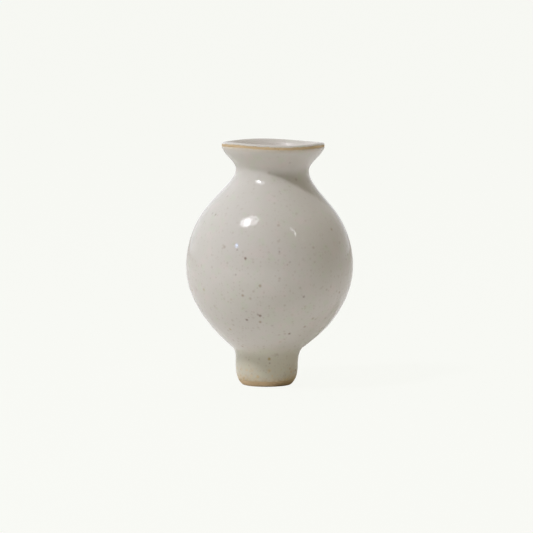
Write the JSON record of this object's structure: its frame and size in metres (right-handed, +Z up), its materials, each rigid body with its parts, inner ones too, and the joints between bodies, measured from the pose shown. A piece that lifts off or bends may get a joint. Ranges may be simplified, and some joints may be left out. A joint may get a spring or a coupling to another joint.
{
  "type": "bud vase",
  "caption": "Small round-bellied ceramic bud vase with a short waisted neck, a flared rim and a narrow pedestal foot.",
  "frame": {"origin": "middle of the base, on the plane that the vase stands on and on the bulb's axis", "axes": "+Z up along the bulb's axis; the pictured side faces -Y, with its left at -X"},
  "size_m": [0.0684, 0.0684, 0.1006],
  "materials": {
    "stoneware": "bare tan stoneware, matt",
    "slip": "fired joining slip, matt",
    "glaze": "glossy pale grey-cream glaze with iron specks"
  },
  "bodies": {
    "root": {"foot": "stoneware", "foot_slip_seam": "slip", "bulb": "stoneware", "collar_slip_seam": "slip", "collar": "stoneware", "outer_glaze": "glaze", "inner_glaze": "glaze"}
  },
  "joints": []
}
